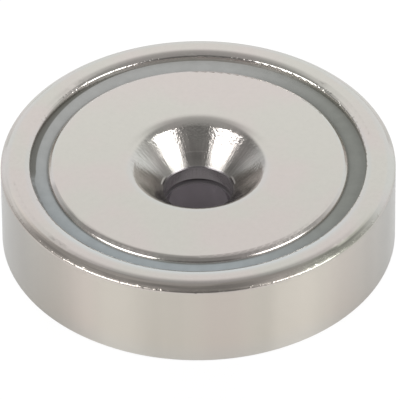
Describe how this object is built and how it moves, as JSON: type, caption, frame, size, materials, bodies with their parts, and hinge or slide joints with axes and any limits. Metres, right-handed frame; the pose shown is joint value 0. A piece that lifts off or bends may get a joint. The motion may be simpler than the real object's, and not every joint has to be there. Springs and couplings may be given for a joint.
{
  "type": "pot magnet",
  "caption": "Round steel cup with a countersunk ring magnet set in cast resin, for fastening with a countersunk screw and holding steel at its rim.",
  "frame": {"origin": "centre of the cup's flat back face, on the screw axis", "axes": "+Z along the screw axis, out of the magnet's holding face"},
  "size_m": [0.032, 0.032, 0.0078],
  "materials": {
    "cup_plating": "satin bright nickel plating on steel",
    "magnet_plating": "bright nickel plating on sintered magnet",
    "resin": "blue-grey cast epoxy, slightly glossy"
  },
  "bodies": {
    "root": {"pot": "cup_plating", "ring_magnet": "magnet_plating", "resin_ring": "resin"}
  },
  "joints": []
}
